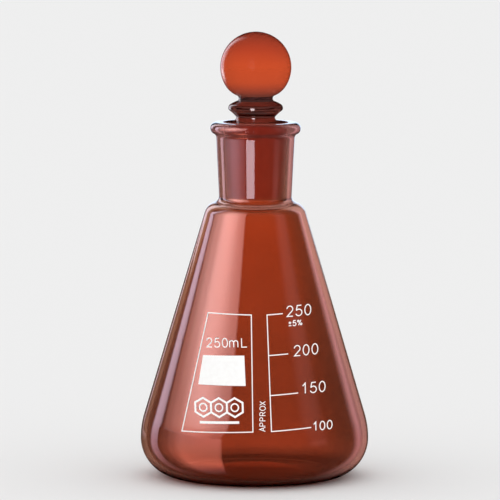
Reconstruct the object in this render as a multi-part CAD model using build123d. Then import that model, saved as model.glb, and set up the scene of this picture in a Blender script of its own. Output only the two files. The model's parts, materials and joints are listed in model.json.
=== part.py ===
"""A 250 ml conical flask of amber glass with a ground socket, its solid glass stopper and its print.

Millimetres. The axis of the flask is Z, the flask stands on z = 0, and the print faces -Y.
Every glass outline is drawn as (radius, height) and turned about Z.
"""
import os
from math import atan, cos, degrees, radians, sin, sqrt, tan

from build123d import *

# ---- flask body ----
WALL = 2.0
BODY_RADIUS = 42.5
HEEL_RADIUS = 14.5  # the rounded corner between base and side
SIDE_RADIUS = 31.0  # the large arc that leads from the heel into the straight side
SIDE_ANGLE = 16.5  # degrees between the straight side and the axis
SHOULDER_Z = 99.0  # where the straight side ends
SHOULDER_RADIUS = 5.5
RING_INNER = 25.0  # inner radius of the flat ring that the flask stands on
PUSH_UP = 2.0  # how far the middle of the base is raised

# ---- neck, rim and ground socket, a 24/29 joint: 24 mm wide, 29 mm long, 1:10 on diameter ----
NECK_FOOT = (13.5, 104.9)
NECK_HEAD = (14.45, 123.5)
NECK_FILLET = 2.5
BEAD_RADIUS = 2.25
BEAD_CENTRE = (14.6, 130.3)
COVE_RADIUS = 1.6  # the hollow under the bead
SOCKET_RADIUS = 12.0  # at the wide end
SOCKET_TAPER = 0.05  # change of radius per unit of depth
MOUTH_ROUND = 0.5
THROAT_RADIUS = 2.5  # where the socket opens into the body

# ---- stopper ----
FIT_CLEARANCE = 0.05  # radial, between ground plug and ground socket
PLUG_LENGTH = 27.6  # below the mouth of the socket
PLUG_ROUND = 2.0
PLUG_TOP = 132.35
PLUG_EDGE = (11.6, 132.7)
PLUG_SHOULDER = (8.0, 133.1)
LOWER_NECK = (7.15, 134.5)
COLLAR_UNDERSIDE = (9.7, 136.9)
COLLAR_TIP = (10.15, 137.8)
COLLAR_BROW = (9.3, 139.3)
COLLAR_TOP = (6.8, 140.45)
WAIST = (6.35, 141.15)
BALL_FOOT = (6.8, 142.4)
BALL_NARROWS_Z = 146.0  # below this the ball draws in to its foot on a smaller arc
BALL_RADIUS = 13.2
BALL_Z = 153.0

# ---- fired enamel print, drawn as (x, z) in front view ----
ENAMEL_ROOT = 0.03  # how deep the enamel is fused into the glass
ENAMEL_PROUD = 0.07
PRINT_DEPTH = 60.0  # reaches past the front of the flask

FRAME_CORNERS = [(-17.4, 64.1), (-1.2, 63.9), (-0.45, 21.9), (-26.95, 20.9)]
FRAME_LINE = 0.36
PATCH_CORNERS = [(-19.05, 48.7), (-3.9, 49.2), (-3.35, 38.4), (-20.75, 38.2)]
LABEL_SLOPE = 2.2  # degrees that the label's contents climb to the right

RING_CENTRE = (-13.1, 30.4)  # the middle one of three joined hexagons
RING_SIDE = 3.35
RING_LINE = 0.8
INNER_RING_RADIUS = 1.6
INNER_RING_LINE = 0.5
BAR_SIZE = (14.5, 0.9)
BAR_DROP = 5.3  # below the hexagons' middle

SCALE_LINE = [(4.4, 63.7), (6.15, 22.2)]
SCALE_PEN = 0.36
TICK_SLOPE = 3.4  # degrees
TICKS = {250: (4.4, 63.7, 5.8), 200: (5.1, 49.2, 7.1), 150: (5.6, 34.95, 10.3), 100: (6.15, 22.2, 14.6)}

LETTER_STEP = 0.91  # from one letter to the next, in letter heights
WIDE_LETTER_STEP = 1.34
NUMERALS = {
    250: {"at": (11.75, 62.95), "height": 3.65},
    200: {"at": (14.5, 48.8), "height": 3.6},
    150: {"at": (17.2, 35.25), "height": 3.6},
    100: {"at": (21.35, 21.85), "height": 2.95},
}
NUMERAL_SLOPE = 1.0
NUMERAL_PEN = 0.37
CAPACITY = {"at": (-17.65, 51.7), "height": 3.15, "pen": 0.35}
TOLERANCE = {"at": (12.3, 59.45), "height": 1.85, "pen": 0.32, "slope": 2.5}
WORD = {"at": (3.9, 22.3), "height": 2.05, "pen": 0.25, "slope": 90}


# ---- outline helpers ----
def leaning(degrees_outward):
    """The direction up a line that leans outward from the axis, and the direction square to it, outward."""
    angle = radians(degrees_outward)
    return Vector(sin(angle), cos(angle)), Vector(cos(angle), -sin(angle))


def round_centre(start, lean, reach, centre, distance, side):
    """The point at reach outside a leaning line through start and at distance from centre.

    side is +1 for the upper of the two such points and -1 for the lower.
    """
    along, across = leaning(lean)
    offset = start + across * reach - centre
    middle = -offset.dot(along)
    half = sqrt(middle**2 - offset.dot(offset) + distance**2)
    return start + across * reach + along * (middle + side * half)


def towards(point, target, distance):
    return point + (target - point).normalized() * distance


def arc(centre, start, end):
    """The shorter arc about centre from start to end."""
    middle = towards(centre, (start + end) * 0.5, (start - centre).length)
    return ThreePointArc(start, middle, end)


def turned(edges):
    """The solid of revolution about Z of a closed outline."""
    return revolve(Plane.XZ * make_face(Curve() + list(edges)), Axis.Z)


def side_curve(offset):
    """The large arc and the straight side, moved outward by offset."""
    centre = (BODY_RADIUS - SIDE_RADIUS, HEEL_RADIUS)
    lower = CenterArc(centre, SIDE_RADIUS + offset, 0, SIDE_ANGLE)
    rise = SHOULDER_Z + offset * sin(radians(SIDE_ANGLE)) - (lower @ 1).Y
    straight = Line(lower @ 1, (lower @ 1) + Vector(-rise * tan(radians(SIDE_ANGLE)), rise))
    return lower, straight


def base_curve(lift):
    """The raised middle of the base, the flat ring and the heel, moved inward by lift."""
    ring_outer = BODY_RADIUS - HEEL_RADIUS
    middle = TangentArc((0, lift + PUSH_UP), (RING_INNER / 2, lift + PUSH_UP / 2), tangent=(1, 0))
    dip = TangentArc(middle @ 1, (RING_INNER, lift), tangent=middle % 1)
    ring = Line(dip @ 1, (ring_outer, lift))
    heel = CenterArc((ring_outer, HEEL_RADIUS), HEEL_RADIUS - lift, -90, 90)
    return middle, dip, ring, heel


def shoulder_centre():
    _, straight = side_curve(0)
    _, across = leaning(-SIDE_ANGLE)
    return (straight @ 1) - across * SHOULDER_RADIUS


def mouth_z():
    return BEAD_CENTRE[1] + BEAD_RADIUS - MOUTH_ROUND


# ---- the two pieces of glass ----
def outside_of_neck():
    """From the end of the straight side, over the shoulder and up the neck, to the top of the bead."""
    shoulder, bead = shoulder_centre(), Vector(*BEAD_CENTRE)
    foot = Vector(*NECK_FOOT)
    lean = degrees(atan((NECK_HEAD[0] - NECK_FOOT[0]) / (NECK_HEAD[1] - NECK_FOOT[1])))
    _, across = leaning(lean)
    fillet = round_centre(foot, lean, NECK_FILLET, shoulder, SHOULDER_RADIUS + NECK_FILLET, 1)
    cove = round_centre(foot, lean, COVE_RADIUS, bead, BEAD_RADIUS + COVE_RADIUS, -1)
    over_shoulder = arc(shoulder, side_curve(0)[1] @ 1, towards(shoulder, fillet, SHOULDER_RADIUS))
    into_neck = arc(fillet, over_shoulder @ 1, fillet - across * NECK_FILLET)
    up_neck = Line(into_neck @ 1, cove - across * COVE_RADIUS)
    under_bead = arc(cove, up_neck @ 1, towards(bead, cove, BEAD_RADIUS))
    round_bead = arc(bead, under_bead @ 1, bead + Vector(0, BEAD_RADIUS))
    return over_shoulder, into_neck, up_neck, under_bead, round_bead


def inside_of_neck():
    """From the top of the bead into the mouth and down the ground socket, to the inside of the shoulder."""
    shoulder, mouth = shoulder_centre(), Vector(SOCKET_RADIUS, mouth_z())
    inner_shoulder = SHOULDER_RADIUS - WALL
    lean = degrees(atan(SOCKET_TAPER))
    _, across = leaning(lean)
    throat = round_centre(mouth, lean, THROAT_RADIUS, shoulder, inner_shoulder + THROAT_RADIUS, 1)
    lip_centre = mouth + Vector(MOUTH_ROUND, 0)
    rim = Line((BEAD_CENTRE[0], mouth.Y + MOUTH_ROUND), lip_centre + Vector(0, MOUTH_ROUND))
    lip = arc(lip_centre, rim @ 1, mouth)
    socket = Line(mouth, throat - across * THROAT_RADIUS)
    opening = arc(throat, socket @ 1, towards(shoulder, throat, inner_shoulder))
    under_shoulder = arc(shoulder, opening @ 1, side_curve(-WALL)[1] @ 1)
    return rim, lip, socket, opening, under_shoulder


def flask_body():
    outside = [*base_curve(0), *side_curve(0), *outside_of_neck()]
    inside = [*inside_of_neck(), *side_curve(-WALL), *base_curve(WALL)]
    return turned([*outside, *inside, Line((0, PUSH_UP), (0, PUSH_UP + WALL))])


def plug_radius(z):
    return SOCKET_RADIUS - FIT_CLEARANCE - SOCKET_TAPER * (mouth_z() - z)


def stopper():
    """Ground plug, short neck, collar, waist and ball, in one piece of solid glass."""
    plug_foot = mouth_z() - PLUG_LENGTH
    round_top = plug_foot + PLUG_ROUND
    foot_radius = plug_radius(round_top)
    ball_start = (sqrt(BALL_RADIUS**2 - (BALL_Z - BALL_NARROWS_Z) ** 2), BALL_NARROWS_Z)

    end = Line((0, plug_foot), (foot_radius - PLUG_ROUND, plug_foot))
    end_round = arc(Vector(foot_radius - PLUG_ROUND, round_top), end @ 1, Vector(foot_radius, round_top))
    plug = Line(end_round @ 1, (plug_radius(PLUG_TOP), PLUG_TOP))
    plug_edge = TangentArc(plug @ 1, PLUG_EDGE, tangent=plug % 1)
    slope = Line(PLUG_EDGE, PLUG_SHOULDER)
    lower_neck = TangentArc(LOWER_NECK, PLUG_SHOULDER, tangent=(0, -1))
    underside_round = TangentArc(COLLAR_TIP, COLLAR_UNDERSIDE, tangent=(0, -1))
    underside = TangentArc(COLLAR_UNDERSIDE, LOWER_NECK, tangent=underside_round % 1)
    brow = TangentArc(COLLAR_TIP, COLLAR_BROW, tangent=(0, 1))
    collar_top = TangentArc(COLLAR_BROW, COLLAR_TOP, tangent=brow % 1)
    waist = ThreePointArc(COLLAR_TOP, WAIST, BALL_FOOT)
    ball = ThreePointArc(ball_start, (BALL_RADIUS, BALL_Z), (0, BALL_Z + BALL_RADIUS))
    ball_underside = TangentArc(ball_start, BALL_FOOT, tangent=ball % 0 * -1)
    axis = Line(ball @ 1, (0, plug_foot))
    lower = [end, end_round, plug, plug_edge, slope, lower_neck, underside, underside_round]
    return turned([*lower, brow, collar_top, waist, ball_underside, ball, axis])


# ---- the letters, drawn with a pen: each takes its height and gives the middle line of its strokes ----
def oval(centre_x, height, half_width):
    return EllipticalCenterArc((centre_x, height / 2), half_width, height / 2, arc_size=360)


def zero(h):
    return [[oval(0.3 * h, h, 0.3 * h)]]


def one(h):
    return [[Polyline((0.12 * h, 0.74 * h), (0.38 * h, h), (0.38 * h, 0))]]


def two(h):
    bowl = CenterArc((0.3 * h, 0.71 * h), 0.29 * h, 175, -217)
    return [[bowl, Polyline(bowl @ 1, (0.02 * h, 0), (0.6 * h, 0))]]


def five(h):
    bowl = CenterArc((0.29 * h, 0.315 * h), 0.315 * h, 142, -302)
    return [[Polyline((0.56 * h, h), (0.14 * h, h), bowl @ 0)], [bowl]]


def small_m(h):
    arch = 0.24 * h
    spring = 0.5 * h
    left = -0.06 * h
    strokes = [[Line((left, 0), (left, spring + arch))]]
    for start in (left, left + 2 * arch):
        bow = CenterArc((start + arch, spring), arch, 180, -180)
        strokes.append([bow, Line(bow @ 1, (start + 2 * arch, 0))])
    return strokes


def large_l(h):
    return [[Polyline((0, h), (0, 0), (0.6 * h, 0))]]


def plus_minus(h):
    middle = 0.62 * h
    level = [[Line((0.05 * h, y), (0.6 * h, y))] for y in (0.08 * h, middle)]
    return level + [[Line((0.325 * h, middle - 0.28 * h), (0.325 * h, middle + 0.28 * h))]]


def per_cent(h):
    rings = [[CenterArc((x * h, y * h), 0.16 * h, 0, 360)] for x, y in ((0.18, 0.8), (0.72, 0.2))]
    return rings + [[Line((0.2 * h, 0), (0.7 * h, h))]]


def large_a(h):
    bar = Line((0.13 * h, 0.36 * h), (0.57 * h, 0.36 * h))
    return [[Polyline((0, 0), (0.35 * h, h), (0.7 * h, 0))], [bar]]


def large_p(h):
    bowl = CenterArc((0.3 * h, 0.74 * h), 0.26 * h, 90, -180)
    return [[Line((0, 0), (0, h))], [Line((0, h), bowl @ 0), bowl, Line(bowl @ 1, (0, 0.48 * h))]]


def large_r(h):
    return large_p(h) + [[Line((0.3 * h, 0.48 * h), (0.6 * h, 0))]]


def large_o(h):
    return [[oval(0.35 * h, h, 0.37 * h)]]


def large_x(h):
    return [[Line((0, 0), (0.62 * h, h))], [Line((0, h), (0.62 * h, 0))]]


LETTERS = {
    "0": zero,
    "1": one,
    "2": two,
    "5": five,
    "m": small_m,
    "L": large_l,
    "±": plus_minus,
    "%": per_cent,
    "A": large_a,
    "P": large_p,
    "R": large_r,
    "O": large_o,
    "X": large_x,
}


def lettering(text, at, height, pen, slope):
    """The text as flat faces, its baseline climbing by slope degrees from the point at."""
    drawing, cursor = Sketch(), 0
    for letter in text:
        for stroke in LETTERS[letter](height):
            drawing += Pos(cursor, 0) * trace(stroke, pen)
        cursor += height * (WIDE_LETTER_STEP if letter == "m" else LETTER_STEP)
    return Pos(*at) * Rot(0, 0, slope) * drawing


# ---- the print ----
def enamel_film():
    """The thin layer that all enamel fills, along the whole side of the flask."""
    skin, root = side_curve(ENAMEL_PROUD), side_curve(-ENAMEL_ROOT)
    ends = [Line(skin[0] @ 0, root[0] @ 0), Line(skin[1] @ 1, root[1] @ 1)]
    return turned([*skin, *root, *ends])


def fired(drawing):
    """A front-view drawing laid onto the side of the flask."""
    return extrude(Plane.XZ * drawing, PRINT_DEPTH) & FILM


def label_frame():
    whole = make_face(Polyline(*FRAME_CORNERS, close=True))
    return whole - offset(whole, -FRAME_LINE)


def write_on_patch():
    return make_face(Polyline(*PATCH_CORNERS, close=True))


def generic_mark():
    """Three joined hexagons, each around a ring, above a plain bar."""
    step = sqrt(3) * RING_SIDE
    hexagons, rings = Sketch(), Sketch()
    for column in (-1, 0, 1):
        place = Pos(column * step, 0)
        hexagons += place * (
            RegularPolygon(RING_SIDE + RING_LINE / 2, 6, rotation=30)
            - RegularPolygon(RING_SIDE - RING_LINE / 2, 6, rotation=30)
        )
        rings += place * (Circle(INNER_RING_RADIUS) - Circle(INNER_RING_RADIUS - INNER_RING_LINE))
    bar = Pos(0, -BAR_DROP) * Rectangle(*BAR_SIZE)
    return Pos(*RING_CENTRE) * Rot(0, 0, LABEL_SLOPE) * (hexagons + rings + bar)


def graduation_scale():
    """The upright line of the scale and its four ticks."""
    climb = tan(radians(TICK_SLOPE))
    drawing = Sketch() + trace(Line(*SCALE_LINE), SCALE_PEN)
    for x, z, length in TICKS.values():
        start = x - SCALE_PEN / 2
        drawing += trace(Line((start, z), (x + length, z + length * climb)), SCALE_PEN)
    return drawing


FILM = enamel_film()
PARTS = {
    "flask_body": flask_body(),
    "stopper": stopper(),
    "label_frame": fired(label_frame()),
    "capacity_mark": fired(lettering("250mL", slope=LABEL_SLOPE, **CAPACITY)),
    "write_on_patch": fired(write_on_patch()),
    "generic_mark": fired(generic_mark()),
    "approx_mark": fired(lettering("APPROX", **WORD)),
    "graduation_scale": fired(graduation_scale()),
    "tolerance_mark": fired(lettering("±5%", **TOLERANCE)),
}
for volume, place in NUMERALS.items():
    numeral = lettering(str(volume), pen=NUMERAL_PEN, slope=NUMERAL_SLOPE, **place)
    PARTS[f"numeral_{volume}"] = fired(numeral)

os.makedirs("parts", exist_ok=True)
for node, shape in PARTS.items():
    export_step(shape, f"parts/{node}.step")
    print(f"{node}: {len(shape.solids())} solids, {shape.volume:.2f} mm3")
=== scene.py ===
"""The amber conical flask: its glass, its fired enamel print, a pale floor and soft studio light.

The glass is turned here as smooth outlines in millimetres, (radius, height), and scaled to metres.
"""
import json
import math

import bpy
import bmesh
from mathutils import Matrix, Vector


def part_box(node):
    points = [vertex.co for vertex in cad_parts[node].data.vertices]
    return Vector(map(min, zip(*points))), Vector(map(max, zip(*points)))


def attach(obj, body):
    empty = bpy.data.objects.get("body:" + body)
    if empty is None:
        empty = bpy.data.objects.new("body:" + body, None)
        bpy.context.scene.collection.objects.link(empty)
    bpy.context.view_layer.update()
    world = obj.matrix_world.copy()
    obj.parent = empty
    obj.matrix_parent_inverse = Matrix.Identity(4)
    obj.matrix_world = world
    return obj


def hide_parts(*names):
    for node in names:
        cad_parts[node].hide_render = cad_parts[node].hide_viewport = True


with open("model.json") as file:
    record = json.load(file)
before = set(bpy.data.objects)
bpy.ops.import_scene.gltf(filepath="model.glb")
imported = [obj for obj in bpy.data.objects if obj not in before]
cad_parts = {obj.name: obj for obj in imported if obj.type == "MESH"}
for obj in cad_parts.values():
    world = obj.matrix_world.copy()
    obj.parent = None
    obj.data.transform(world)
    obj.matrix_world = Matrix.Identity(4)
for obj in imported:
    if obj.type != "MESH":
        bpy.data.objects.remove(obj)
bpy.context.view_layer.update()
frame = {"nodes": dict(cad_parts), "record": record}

MM = 0.001
NODES = frame["nodes"]


def widest(node):
    """The largest distance from the axis in a node, in millimetres."""
    return max(math.hypot(v.co.x, v.co.y) for v in NODES[node].data.vertices) / MM


# ---- sizes of the flask, in millimetres; the overall ones come from the frame ----
BODY_RADIUS = widest("flask_body")
RIM_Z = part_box("flask_body")[1][2] / MM
WALL = 2.0
HEEL_RADIUS = 14.5
SIDE_RADIUS = 31.0
SIDE_ANGLE = 16.5
SHOULDER_Z = 99.0
SHOULDER_RADIUS = 5.5
RING_INNER = 25.0
PUSH_UP = 2.0
NECK_FOOT = Vector((13.5, 104.9))
NECK_HEAD = Vector((14.45, 123.5))
NECK_FILLET = 2.5
BEAD_RADIUS = 2.25
BEAD = Vector((14.6, RIM_Z - BEAD_RADIUS))
COVE_RADIUS = 1.6
SOCKET_RADIUS = 12.0
SOCKET_TAPER = 0.05
MOUTH_ROUND = 0.5
MOUTH_Z = RIM_Z - MOUTH_ROUND
THROAT_RADIUS = 2.5

# ---- sizes of the stopper ----
BALL_RADIUS = widest("stopper")
BALL_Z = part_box("stopper")[1][2] / MM - BALL_RADIUS
PLUG_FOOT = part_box("stopper")[0][2] / MM
FIT_CLEARANCE = 0.05
PLUG_ROUND = 2.0
PLUG_TOP = 132.35
PLUG_EDGE = Vector((11.6, 132.7))
PLUG_SHOULDER = Vector((8.0, 133.1))
LOWER_NECK = Vector((7.15, 134.5))
COLLAR_UNDERSIDE = Vector((9.7, 136.9))
COLLAR_TIP = Vector((10.15, 137.8))
COLLAR_BROW = Vector((9.3, 139.3))
COLLAR_TOP = Vector((6.8, 140.45))
WAIST = Vector((6.35, 141.15))
BALL_FOOT = Vector((6.8, 142.4))
BALL_NARROWS_Z = 146.0

# ---- fineness of the turned meshes ----
SEGMENTS = 256
ARC_STEP = math.radians(3.0)
ARC_LENGTH = 1.2
LINE_STEP = 5.0

CLEAR, GROUND, SOFT = 0, 1, 2

# ---- light: the sky brightens upward just enough for the floor to look as bright as the horizon ----
FLOOR_SHADE = 0.8
HORIZON_LIGHT = 0.86
ZENITH_LIGHT = HORIZON_LIGHT * (1 + 1.5 * (1 / FLOOR_SHADE - 1))


# ---- outlines ----
def direction(degrees):
    return Vector((math.cos(math.radians(degrees)), math.sin(math.radians(degrees))))


def leaning(degrees_outward):
    """The direction up a line that leans outward from the axis, and the outward direction square to it."""
    angle = math.radians(degrees_outward)
    return Vector((math.sin(angle), math.cos(angle))), Vector((math.cos(angle), -math.sin(angle)))


def round_centre(start, lean, reach, centre, distance, side):
    """The upper (+1) or lower (-1) point at reach outside a leaning line and at distance from centre."""
    along, across = leaning(lean)
    offset = start + across * reach - centre
    middle = -offset.dot(along)
    half = math.sqrt(middle**2 - offset.dot(offset) + distance**2)
    return start + across * reach + along * (middle + side * half)


def towards(point, target, distance):
    return point + (target - point).normalized() * distance


def line(start, end):
    count = max(1, math.ceil((end - start).length / LINE_STEP))
    return [start.lerp(end, i / count) for i in range(count + 1)]


def sweep(centre, radius, start_angle, size):
    """Points along an arc; angles in radians."""
    count = max(4, math.ceil(abs(size) / ARC_STEP), math.ceil(abs(size) * radius / ARC_LENGTH))
    angles = [start_angle + size * i / count for i in range(count + 1)]
    return [centre + Vector((math.cos(a), math.sin(a))) * radius for a in angles]


def arc(centre, start, end):
    """The shorter arc about centre from start to end."""
    first, last = start - centre, end - centre
    turn = math.atan2(first.x * last.y - first.y * last.x, first.dot(last))
    return sweep(centre, first.length, math.atan2(first.y, first.x), turn)


def tangent_arc(start, end, tangent):
    """The arc from start to end that sets off along tangent, and the direction in which it ends."""
    chord = end - start
    normal = Vector((-tangent.y, tangent.x))
    sideways = 2 * chord.dot(normal)
    if abs(sideways) < 1e-9:
        return line(start, end), tangent
    radius = chord.dot(chord) / sideways
    centre = start + normal * radius
    turn = 2 * math.atan2(chord.dot(normal), chord.dot(tangent))
    points = sweep(centre, abs(radius), math.atan2(start.y - centre.y, start.x - centre.x), turn)
    return points, Vector((
        tangent.x * math.cos(turn) - tangent.y * math.sin(turn),
        tangent.x * math.sin(turn) + tangent.y * math.cos(turn),
    ))


def arc_through(start, middle, end):
    """The arc through three points."""
    a, b = middle - start, end - start
    cross = 2 * (a.x * b.y - a.y * b.x)
    centre = start + Vector((b.y * a.dot(a) - a.y * b.dot(b), a.x * b.dot(b) - b.x * a.dot(a))) / cross
    first = start - centre
    start_angle = math.atan2(first.y, first.x)
    full = 2 * math.pi
    to_middle = (math.atan2(middle.y - centre.y, middle.x - centre.x) - start_angle) % full
    to_end = (math.atan2(end.y - centre.y, end.x - centre.x) - start_angle) % full
    return sweep(centre, first.length, start_angle, to_end if to_middle < to_end else to_end - full)


def side_outline(offset):
    """The large arc and the straight side, moved outward by offset, from the heel up."""
    centre = Vector((BODY_RADIUS - SIDE_RADIUS, HEEL_RADIUS))
    lower = sweep(centre, SIDE_RADIUS + offset, 0, math.radians(SIDE_ANGLE))
    rise = SHOULDER_Z + offset * math.sin(math.radians(SIDE_ANGLE)) - lower[-1].y
    top = lower[-1] + Vector((-rise * math.tan(math.radians(SIDE_ANGLE)), rise))
    return lower, line(lower[-1], top)


def base_outline(lift):
    """The raised middle of the base, the flat ring and the heel, moved inward by lift."""
    ring_outer = BODY_RADIUS - HEEL_RADIUS
    half_way = Vector((RING_INNER / 2, lift + PUSH_UP / 2))
    middle, slope = tangent_arc(Vector((0, lift + PUSH_UP)), half_way, Vector((1, 0)))
    dip, _ = tangent_arc(half_way, Vector((RING_INNER, lift)), slope)
    ring = line(dip[-1], Vector((ring_outer, lift)))
    heel = sweep(Vector((ring_outer, HEEL_RADIUS)), HEEL_RADIUS - lift, -math.pi / 2, math.pi / 2)
    return middle, dip, ring, heel


def flask_outline():
    """The runs of the flask's closed outline, each with its kind of surface."""
    side, inner_side = side_outline(0), side_outline(-WALL)
    _, across = leaning(-SIDE_ANGLE)
    shoulder = side[1][-1] - across * SHOULDER_RADIUS
    inner_shoulder = SHOULDER_RADIUS - WALL

    rise = NECK_HEAD - NECK_FOOT
    lean = math.degrees(math.atan2(rise.x, rise.y))
    _, across = leaning(lean)
    fillet = round_centre(NECK_FOOT, lean, NECK_FILLET, shoulder, SHOULDER_RADIUS + NECK_FILLET, 1)
    cove = round_centre(NECK_FOOT, lean, COVE_RADIUS, BEAD, BEAD_RADIUS + COVE_RADIUS, -1)
    over_shoulder = arc(shoulder, side[1][-1], towards(shoulder, fillet, SHOULDER_RADIUS))
    into_neck = arc(fillet, over_shoulder[-1], fillet - across * NECK_FILLET)
    up_neck = line(into_neck[-1], cove - across * COVE_RADIUS)
    under_bead = arc(cove, up_neck[-1], towards(BEAD, cove, BEAD_RADIUS))
    round_bead = arc(BEAD, under_bead[-1], BEAD + Vector((0, BEAD_RADIUS)))

    mouth = Vector((SOCKET_RADIUS, MOUTH_Z))
    lip_centre = mouth + Vector((MOUTH_ROUND, 0))
    lean = math.degrees(math.atan(SOCKET_TAPER))
    _, across = leaning(lean)
    throat = round_centre(mouth, lean, THROAT_RADIUS, shoulder, inner_shoulder + THROAT_RADIUS, 1)
    rim = line(round_bead[-1], lip_centre + Vector((0, MOUTH_ROUND)))
    lip = arc(lip_centre, rim[-1], mouth)
    socket = line(mouth, throat - across * THROAT_RADIUS)
    opening = arc(throat, socket[-1], towards(shoulder, throat, inner_shoulder))
    under_shoulder = arc(shoulder, opening[-1], inner_side[1][-1])

    neck = [over_shoulder, into_neck, up_neck, under_bead, round_bead, rim, lip]
    outside = [*base_outline(0), *side, *neck]
    inside = [opening, under_shoulder, *(run[::-1] for run in inner_side[::-1])]
    floor_inside = [run[::-1] for run in base_outline(WALL)[::-1]]
    clear_before = [(run, CLEAR) for run in outside]
    clear_after = [(run, CLEAR) for run in inside + floor_inside]
    return clear_before + [(socket, GROUND)] + clear_after


def plug_radius(z):
    return SOCKET_RADIUS - FIT_CLEARANCE - SOCKET_TAPER * (MOUTH_Z - z)


def stopper_outline():
    """The runs of the stopper's outline from the end of the plug to the top of the ball."""
    foot_radius = plug_radius(PLUG_FOOT + PLUG_ROUND)
    corner = Vector((foot_radius - PLUG_ROUND, PLUG_FOOT + PLUG_ROUND))
    ball_start = Vector((math.sqrt(BALL_RADIUS**2 - (BALL_Z - BALL_NARROWS_Z) ** 2), BALL_NARROWS_Z))
    up, down = Vector((0, 1)), Vector((0, -1))

    end = line(Vector((0, PLUG_FOOT)), corner - Vector((0, PLUG_ROUND)))
    end_round = arc(corner, end[-1], corner + Vector((PLUG_ROUND, 0)))
    plug = line(end_round[-1], Vector((plug_radius(PLUG_TOP), PLUG_TOP)))
    plug_edge, _ = tangent_arc(plug[-1], PLUG_EDGE, (plug[-1] - plug[0]).normalized())
    slope = line(PLUG_EDGE, PLUG_SHOULDER)
    lower_neck, _ = tangent_arc(LOWER_NECK, PLUG_SHOULDER, down)
    underside_round, heading = tangent_arc(COLLAR_TIP, COLLAR_UNDERSIDE, down)
    underside, _ = tangent_arc(COLLAR_UNDERSIDE, LOWER_NECK, heading)
    brow, heading = tangent_arc(COLLAR_TIP, COLLAR_BROW, up)
    collar_top, _ = tangent_arc(COLLAR_BROW, COLLAR_TOP, heading)
    waist = arc_through(COLLAR_TOP, WAIST, BALL_FOOT)
    ball = arc_through(ball_start, Vector((BALL_RADIUS, BALL_Z)), Vector((0, BALL_Z + BALL_RADIUS)))
    down_the_ball = Vector((ball_start.y - BALL_Z, -ball_start.x)) / BALL_RADIUS
    ball_underside, _ = tangent_arc(ball_start, BALL_FOOT, down_the_ball)
    above = [slope, lower_neck[::-1], underside[::-1], underside_round[::-1], brow, collar_top]
    ground_runs = [(end_round, GROUND), (plug, GROUND), (plug_edge, GROUND)]
    ball_runs = [(run, SOFT) for run in (waist, ball_underside[::-1], ball)]
    return [(end, CLEAR), *ground_runs, *((run, CLEAR) for run in above), *ball_runs]


def ring_of_verts(mesh, point):
    """The vertices of one outline point turned about the axis; a point on the axis gives a single one."""
    radius, z = point.x * MM, point.y * MM
    if point.x < 1e-6:
        return [mesh.verts.new((0, 0, z))]
    angles = [2 * math.pi * i / SEGMENTS for i in range(SEGMENTS)]
    return [mesh.verts.new((radius * math.cos(a), radius * math.sin(a), z)) for a in angles]


def turned(name, runs, materials):
    """A closed smooth mesh: the runs of an outline turned about the axis."""
    points, kinds = [runs[0][0][0]], []
    for run, kind in runs:
        points += run[1:]
        kinds += [kind] * (len(run) - 1)
    mesh = bmesh.new()
    rings = [ring_of_verts(mesh, point) for point in points]
    for lower, upper, kind in zip(rings, rings[1:], kinds):
        for i in range(SEGMENTS):
            j = (i + 1) % SEGMENTS
            if len(lower) == 1:
                corners = [lower[0], upper[j], upper[i]]
            elif len(upper) == 1:
                corners = [lower[i], lower[j], upper[0]]
            else:
                corners = [lower[i], lower[j], upper[j], upper[i]]
            face = mesh.faces.new(corners)
            face.material_index = kind
            face.smooth = True
    bmesh.ops.recalc_face_normals(mesh, faces=mesh.faces)
    data = bpy.data.meshes.new(name)
    mesh.to_mesh(data)
    mesh.free()
    for material in materials:
        data.materials.append(material)
    piece = bpy.data.objects.new(name, data)
    bpy.context.scene.collection.objects.link(piece)
    return piece


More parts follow.
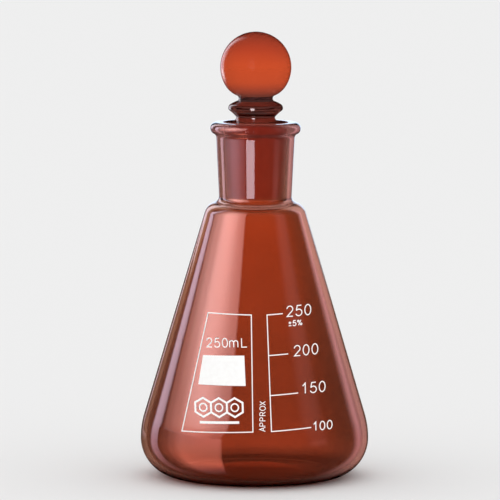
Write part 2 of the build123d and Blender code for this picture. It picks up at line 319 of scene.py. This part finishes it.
# ---- materials ----
class MaterialTree:
    """A material's node tree, with a short way to add and link nodes."""

    def __init__(self, name):
        self.material = bpy.data.materials.new(name)
        self.material.use_nodes = True
        self.tree = self.material.node_tree
        self.shader = self.tree.nodes["Principled BSDF"]
        self.coordinates = self.tree.nodes.new("ShaderNodeTexCoord").outputs["Object"]

    def add(self, kind, **values):
        node = self.tree.nodes.new(kind)
        for key, value in values.items():
            setattr(node, key, value)
        return node

    def noise(self, scale, detail=3.0):
        node = self.add("ShaderNodeTexNoise")
        node.inputs["Scale"].default_value = scale
        node.inputs["Detail"].default_value = detail
        self.tree.links.new(self.coordinates, node.inputs["Vector"])
        return node.outputs["Fac"]

    def spread(self, source, low, high):
        """Maps the middle of a noise onto low to high."""
        node = self.add("ShaderNodeMapRange")
        node.inputs["From Min"].default_value = 0.3
        node.inputs["From Max"].default_value = 0.7
        node.inputs["To Min"].default_value = low
        node.inputs["To Max"].default_value = high
        self.tree.links.new(source, node.inputs["Value"])
        return node.outputs["Result"]

    def mixed(self, source, first, second):
        node = self.add("ShaderNodeMix", data_type="RGBA")
        node.inputs["A"].default_value = (*first, 1)
        node.inputs["B"].default_value = (*second, 1)
        self.tree.links.new(source, node.inputs["Factor"])
        return node.outputs["Result"]

    def by_height(self, stops):
        """A colour that changes smoothly between stops, each a height in millimetres and a colour."""
        low, high = stops[0][0], stops[-1][0]
        split = self.add("ShaderNodeSeparateXYZ")
        self.tree.links.new(self.coordinates, split.inputs["Vector"])
        scaled = self.add("ShaderNodeMapRange")
        scaled.inputs["From Min"].default_value = low * MM
        scaled.inputs["From Max"].default_value = high * MM
        self.tree.links.new(split.outputs["Z"], scaled.inputs["Value"])
        ramp = self.add("ShaderNodeValToRGB")
        elements = ramp.color_ramp.elements
        while len(elements) < len(stops):
            elements.new(0.5)
        for element, (height, colour) in zip(elements, stops):
            element.position = (height - low) / (high - low)
            element.color = (*colour, 1)
        self.tree.links.new(scaled.outputs["Result"], ramp.inputs["Fac"])
        return ramp.outputs["Color"]

    def mottled(self, colour, factor):
        """The colour, multiplied by a factor."""
        node = self.add("ShaderNodeVectorMath", operation="SCALE")
        self.tree.links.new(colour, node.inputs[0])
        self.tree.links.new(factor, node.inputs["Scale"])
        return node.outputs["Vector"]

    def darker_aslant(self, colour, share):
        """The colour as it is face on, and the given share of it where the wall is seen at a slant."""
        facing = self.add("ShaderNodeLayerWeight")
        facing.inputs["Blend"].default_value = 0.5
        amount = self.add("ShaderNodeMapRange", interpolation_type="SMOOTHSTEP")
        amount.inputs["From Min"].default_value = 0.05
        amount.inputs["From Max"].default_value = 0.4
        self.tree.links.new(facing.outputs["Facing"], amount.inputs["Value"])
        darker = self.add("ShaderNodeVectorMath", operation="MULTIPLY")
        darker.inputs[1].default_value = share
        self.tree.links.new(colour, darker.inputs[0])
        node = self.add("ShaderNodeMix", data_type="RGBA")
        self.tree.links.new(amount.outputs["Result"], node.inputs["Factor"])
        self.tree.links.new(colour, node.inputs["A"])
        self.tree.links.new(darker.outputs["Vector"], node.inputs["B"])
        return node.outputs["Result"]

    def bump(self, source, strength, distance):
        node = self.add("ShaderNodeBump")
        node.inputs["Strength"].default_value = strength
        node.inputs["Distance"].default_value = distance
        self.tree.links.new(source, node.inputs["Height"])
        self.tree.links.new(node.outputs["Normal"], self.shader.inputs["Normal"])

    def drive(self, socket, source):
        self.tree.links.new(source, self.shader.inputs[socket])


def amber_glass(name, stain_and_shade_stops, roughness=(0.0, 0.02), aslant=None, gloss=1.0):
    """Clear stained glass, a little uneven. Each colour stop by height is (height in millimetres, colour):
    the stain's own colour with painted shade and painted light laid over it by height.

    Aslant is the share of each colour that is left where the wall is seen at a slant. Gloss is the share of
    the face-on reflection.
    """
    made = MaterialTree(name)
    made.shader.inputs["Transmission Weight"].default_value = 1.0
    made.shader.inputs["IOR"].default_value = 1.47
    made.shader.inputs["Specular Tint"].default_value = (gloss, gloss, gloss, 1)
    # the colour by height: the amber stain, with painted shade and painted light
    stain_and_shade = made.mottled(made.by_height(stain_and_shade_stops), made.spread(made.noise(35.0), 0.93, 1.03))
    made.drive("Base Color", made.darker_aslant(stain_and_shade, aslant) if aslant else stain_and_shade)
    made.drive("Roughness", made.spread(made.noise(90.0), *roughness))
    made.bump(made.noise(45.0, detail=1.0), 0.05, 0.0004)
    return made.material


def ground_glass(name, tint):
    """The dull face of the ground joint."""
    made = MaterialTree(name)
    made.shader.inputs["Transmission Weight"].default_value = 1.0
    made.shader.inputs["IOR"].default_value = 1.47
    made.drive("Base Color", made.mixed(made.noise(400.0), tint, [1.1 * c for c in tint]))
    made.drive("Roughness", made.spread(made.noise(900.0), 0.28, 0.42))
    made.bump(made.noise(6000.0), 0.25, 0.00003)
    return made.material


def fired_enamel():
    """White enamel, a little uneven in colour and sheen."""
    made = MaterialTree("fired_enamel")
    patches = made.spread(made.noise(700.0), 0.0, 1.0)
    made.drive("Base Color", made.mixed(patches, (0.97, 0.97, 0.96), (0.93, 0.92, 0.91)))
    made.drive("Roughness", made.spread(made.noise(1500.0), 0.3, 0.5))
    made.bump(made.noise(9000.0), 0.3, 0.00001)
    return made.material


# ---- floor, light and camera ----
def make_floor():
    """A large pale floor that the glass doesn't mirror."""
    mesh = bpy.data.meshes.new("floor")
    half = 14.0
    corners = [(-half, -half, 0), (half, -half, 0), (half, half, 0), (-half, half, 0)]
    mesh.from_pydata(corners, [], [(0, 1, 2, 3)])
    floor = bpy.data.objects.new("floor", mesh)
    bpy.context.scene.collection.objects.link(floor)
    made = MaterialTree("pale_floor")
    made.shader.inputs["Base Color"].default_value = (FLOOR_SHADE, FLOOR_SHADE, FLOOR_SHADE, 1)
    made.shader.inputs["Roughness"].default_value = 0.9
    made.shader.inputs["Specular IOR Level"].default_value = 0.0
    mesh.materials.append(made.material)
    floor.visible_glossy = False


def make_world():
    """A white sky, brighter towards the top, that lights the scene but isn't mirrored."""
    world = bpy.data.worlds.new("studio")
    bpy.context.scene.world = world
    world.use_nodes = True
    nodes, links = world.node_tree.nodes, world.node_tree.links
    split = nodes.new("ShaderNodeSeparateXYZ")
    links.new(nodes.new("ShaderNodeTexCoord").outputs["Generated"], split.inputs["Vector"])
    rise = nodes.new("ShaderNodeMapRange")
    rise.inputs["To Min"].default_value = HORIZON_LIGHT
    rise.inputs["To Max"].default_value = ZENITH_LIGHT
    links.new(split.outputs["Z"], rise.inputs["Value"])
    background = nodes["Background"]
    background.inputs["Color"].default_value = (1, 1, 1, 1)
    links.new(rise.outputs["Result"], background.inputs["Strength"])
    world.cycles_visibility.glossy = False


def between(stops, at):
    """The value at a place, changing smoothly between stops, which are (place, value) in order."""
    for (start, low), (end, high) in zip(stops, stops[1:]):
        if at <= end:
            share = max(0.0, (at - start) / (end - start))
            return low + (high - low) * share * share * (3 - 2 * share)
    return stops[-1][1]


SOFT_SIDES = [(0, 0), (0.3, 1), (0.7, 1), (1, 0)]


def receive_only(light, pieces):
    """Lets a light or a card of light reach the given pieces alone."""
    lit = bpy.data.collections.new(light.name)
    for piece in pieces:
        lit.objects.link(piece)
    light.light_linking.receiver_collection = lit


def softbox(name, rows, profile, distance=0.5, aim=0.08, on_floor=False, only=None):
    """A curved card of light that only shows in reflections, and if only is given, only in those pieces.

    Each row is an elevation, two azimuths and a light colour, seen from the point on the axis at height
    aim. Azimuth is in degrees from the front of the print towards +X. The light changes evenly from row to
    row. The profile is the brightness across a row, as (share of the width, brightness). The card stands at
    distance from that point, or lies on the floor.
    """
    across, up = 60, 8  # faces across the card, and from one row to the next
    mesh = bmesh.new()
    glow = mesh.verts.layers.float_color.new("glow")
    grid = []
    for lower, upper in zip(rows, rows[1:]):
        for j in range(up + (upper is rows[-1])):
            share = j / up
            elevation, first, last = (lo + (hi - lo) * share for lo, hi in zip(lower[:3], upper[:3]))
            colour = [lo + (hi - lo) * share for lo, hi in zip(lower[3], upper[3])]
            row = []
            for i in range(across + 1):
                azimuth = math.radians(first + (last - first) * i / across)
                flat = math.cos(math.radians(elevation))
                rise = math.sin(math.radians(elevation))
                way = Vector((math.sin(azimuth) * flat, -math.cos(azimuth) * flat, rise))
                reach = aim / -rise if on_floor else distance
                vert = mesh.verts.new(Vector((0, 0, aim)) + way * reach)
                brightness = between(profile, i / across)
                vert[glow] = (*(brightness * c for c in colour), 1)
                row.append(vert)
            grid.append(row)
    for lower, upper in zip(grid, grid[1:]):
        for i in range(across):
            mesh.faces.new([lower[i], lower[i + 1], upper[i + 1], upper[i]])
    data = bpy.data.meshes.new(name)
    mesh.to_mesh(data)
    mesh.free()
    card = bpy.data.objects.new(name, data)
    bpy.context.scene.collection.objects.link(card)

    material = bpy.data.materials.new(name)
    material.use_nodes = True
    nodes, links = material.node_tree.nodes, material.node_tree.links
    nodes.clear()
    attribute = nodes.new("ShaderNodeAttribute")
    attribute.attribute_name = "glow"
    emission = nodes.new("ShaderNodeEmission")
    links.new(attribute.outputs["Color"], emission.inputs["Color"])
    links.new(emission.outputs["Emission"], nodes.new("ShaderNodeOutputMaterial").inputs["Surface"])
    data.materials.append(material)
    card.visible_camera = False
    card.visible_diffuse = False
    card.visible_transmission = False
    card.visible_shadow = False
    if only:
        receive_only(card, only)


def make_lights(flask_pieces, stopper_pieces):
    """The cards whose reflections give the glass its bright panels, strips and edges."""
    dark = (0, 0, 0)
    softbox("left_panel", [
        (-30, -108, -30, dark),
        (-14, -108, -30, (2.0, 1.1, 1.1)),
        (-3, -108, -30, (4.2, 2.9, 3.5)),
        (2, -108, -32, (8.8, 3.4, 2.9)),
        (9, -112, -28, (11.0, 4.8, 4.2)),
        (15, -112, -26, (15.0, 8.1, 7.6)),
        (28, -108, -22, (16.0, 8.8, 8.2)),
        (40, -104, -20, (13.0, 7.0, 6.6)),
        (60, -100, -24, dark),
    ], [(0, 0), (0.12, 0.3), (0.28, 0.55), (0.46, 1), (0.58, 1), (0.96, 0.4), (1, 0)], only=flask_pieces)
    softbox("left_panel_foot", [
        (-60, -75, -21, dark),
        (-52, -81, -16, (0.9, 0.4, 0.4)),
        (-44, -88, -7, (3.0, 0.8, 0.7)),
        (-36, -91, -3, (6.4, 1.6, 1.1)),
        (-28, -93, -1, (9.4, 2.2, 1.4)),
        (-16, -96, 2, (8.4, 2.0, 1.3)),
        (-3, -98, 4, (6.3, 2.0, 1.5)),
        (4, -98, 4, (5.6, 2.1, 1.8)),
        (10, -98, 4, (6.0, 2.4, 2.1)),
    ], [(0, 0), (0.12, 0.15), (0.19, 0.4), (0.32, 1), (0.675, 1), (0.7, 0), (1, 0)],
        distance=0.12, aim=0.01, only=flask_pieces)
    softbox("neck_strip", [
        (-8.7, -29, -2, dark),
        (-8.3, -29, -2, (9, 7.5, 8.4)),
        (-5.3, -29, -2, (10, 8.5, 9.4)),
        (-4.9, -29, -2, dark),
    ], [(0, 0), (0.08, 1), (0.92, 1), (1, 0)], on_floor=True, only=flask_pieces)
    softbox("collar_strip", [
        (-60, -26, -2, dark),
        (-45, -26, -2, (15, 13, 13)),
        (20, -26, -2, (20, 17, 18)),
        (35, -26, -2, dark),
    ], SOFT_SIDES, distance=2.5, aim=0.137, only=stopper_pieces)
    softbox("stopper_edge", [
        (-20, -152, -126, dark),
        (-12, -152, -126, (4.0, 4.2, 4.6)),
        (14, -152, -126, (4.0, 4.2, 4.6)),
        (25, -152, -126, dark),
    ], SOFT_SIDES, aim=0.15, only=stopper_pieces)
    softbox("left_rear_strip", [
        (-65, -128, -108, dark),
        (-40, -128, -108, (0.9, 0.35, 0.35)),
        (-12, -128, -108, (2.4, 1.4, 1.8)),
        (20, -126, -106, (6.0, 4.9, 6.2)),
        (35, -110, -90, (5.1, 4.4, 5.4)),
        (60, -108, -90, dark),
    ], SOFT_SIDES, only=flask_pieces)
    softbox("left_back_edge", [
        (-15, -160, -136, dark),
        (5, -160, -136, (2.0, 1.8, 2.2)),
        (35, -160, -136, (3.0, 2.8, 3.0)),
        (65, -160, -136, dark),
    ], SOFT_SIDES)
    softbox("right_glow", [
        (-12, 50, 80, dark),
        (-6, 50, 80, (1.1, 0.5, 0.5)),
        (-2, 50, 80, (0.3, 0.15, 0.15)),
        (30, 40, 80, (1.0, 0.6, 0.6)),
        (60, 40, 80, dark),
    ], [(0, 0), (0.4, 1), (0.6, 1), (1, 0)], only=flask_pieces)
    softbox("right_rear_strip", [
        (-60, 112, 160, dark),
        (-40, 112, 160, (1.0, 0.5, 0.5)),
        (-12, 112, 160, (2.3, 0.9, 1.0)),
        (5, 112, 160, (3.0, 1.4, 1.5)),
        (18, 110, 158, (4.0, 2.2, 2.4)),
        (35, 106, 154, (4.0, 2.4, 2.5)),
        (55, 106, 154, dark),
    ], [(0, 0), (0.3, 1), (0.5, 0.4), (0.75, 0.25), (1, 0)], only=flask_pieces)
    softbox("back_right", [
        (-4, 148, 196, dark),
        (2, 148, 196, (1.2, 1.5, 1.9)),
        (14, 148, 196, (1.2, 1.5, 1.9)),
        (22, 148, 196, dark),
    ], [(0, 0), (0.25, 1), (0.85, 1), (1, 0)], only=flask_pieces)


def make_print_light(print_pieces):
    """A faint frontal sun that whitens the enamel and nothing else."""
    light = bpy.data.objects.new("print_light", bpy.data.lights.new("print_light", "SUN"))
    light.data.energy = 0.42
    light.data.angle = math.radians(20)
    light.rotation_euler = (math.radians(75), 0, 0)
    bpy.context.scene.collection.objects.link(light)
    receive_only(light, print_pieces)


def make_camera():
    """A distant camera in front of the print, a little above it, looking slightly down."""
    looks_down = 5.718
    rolls = -0.2
    data = bpy.data.cameras.new("camera")
    data.sensor_width = 36
    data.lens = 349.5
    camera = bpy.data.objects.new("camera", data)
    camera.location = (-0.00255, -1.8, 0.265)
    camera.rotation_euler = (math.radians(90 - looks_down), math.radians(rolls), 0)
    bpy.context.scene.collection.objects.link(camera)
    bpy.context.scene.camera = camera


make_camera()
make_world()
make_floor()

# amber stain by height, with painted shade at the very bottom of the base and painted light on the heel
# from 2 to 12 mm, which offsets the shaded floor seen through it
clear = amber_glass("amber_glass", [
    (0, (0.32, 0.09, 0.05)),
    (2, (0.50, 0.165, 0.10)),
    (6, (0.74, 0.255, 0.15)),
    (12, (0.57, 0.195, 0.105)),
    (18, (0.525, 0.182, 0.10)),
    (45, (0.565, 0.194, 0.103)),
    (95, (0.67, 0.21, 0.10)),
    (104, (0.60, 0.22, 0.13)),
    (126, (0.57, 0.21, 0.15)),
    (133, (0.62, 0.20, 0.17)),
], aslant=(0.58, 0.76, 0.95))
ground = ground_glass("ground_amber_glass", (0.86, 0.43, 0.37))
# painted shade: the stopper's collar and waist are made dark, standing in for the dark surroundings seen
# through them
stopper_shaded_glass = amber_glass("amber_glass_stopper", [
    (103, (0.5, 0.15, 0.1)),
    (133, (0.16, 0.045, 0.035)),
    (141, (0.09, 0.03, 0.025)),
    (145, (0.6, 0.08, 0.028)),
])
# painted shade and painted light: the ball is darkest at its foot and top and brightest a little below its
# middle, as a solid ball shows the dark floor and the pale sky upside down
ball_shaded_glass = amber_glass("amber_glass_ball", [
    (140.5, (0.03, 0.02, 0.02)),
    (143, (0.05, 0.02, 0.025)),
    (145, (0.22, 0.042, 0.028)),
    (148, (0.58, 0.08, 0.028)),
    (154, (0.74, 0.094, 0.028)),
    (160, (0.46, 0.05, 0.022)),
    (166.2, (0.23, 0.031, 0.022)),
], roughness=(0.16, 0.2), aslant=(0.88, 0.92, 0.96), gloss=0.02)
stopper_ground = ground_glass("ground_amber_glass_stopper", (0.49, 0.21, 0.155))
enamel = fired_enamel()

flask = turned("flask_glass", flask_outline(), [clear, ground])
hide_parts("flask_body")
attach(flask, "flask")

plug = turned("stopper_glass", stopper_outline(), [stopper_shaded_glass, stopper_ground, ball_shaded_glass])
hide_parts("stopper")
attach(plug, "stopper")

subparts = frame["record"]["subparts"]
marks = [NODES[part["node"]] for part in subparts if part["material_slot"] == "enamel"]
for mark in marks:
    mark.data.materials.clear()
    mark.data.materials.append(enamel)

make_lights([flask], [plug])
make_print_light(marks)

scene = bpy.context.scene
scene.view_settings.view_transform = "Standard"
scene.cycles.use_denoising = True
scene.cycles.max_bounces = 32
scene.cycles.transmission_bounces = 32
scene.cycles.glossy_bounces = 8
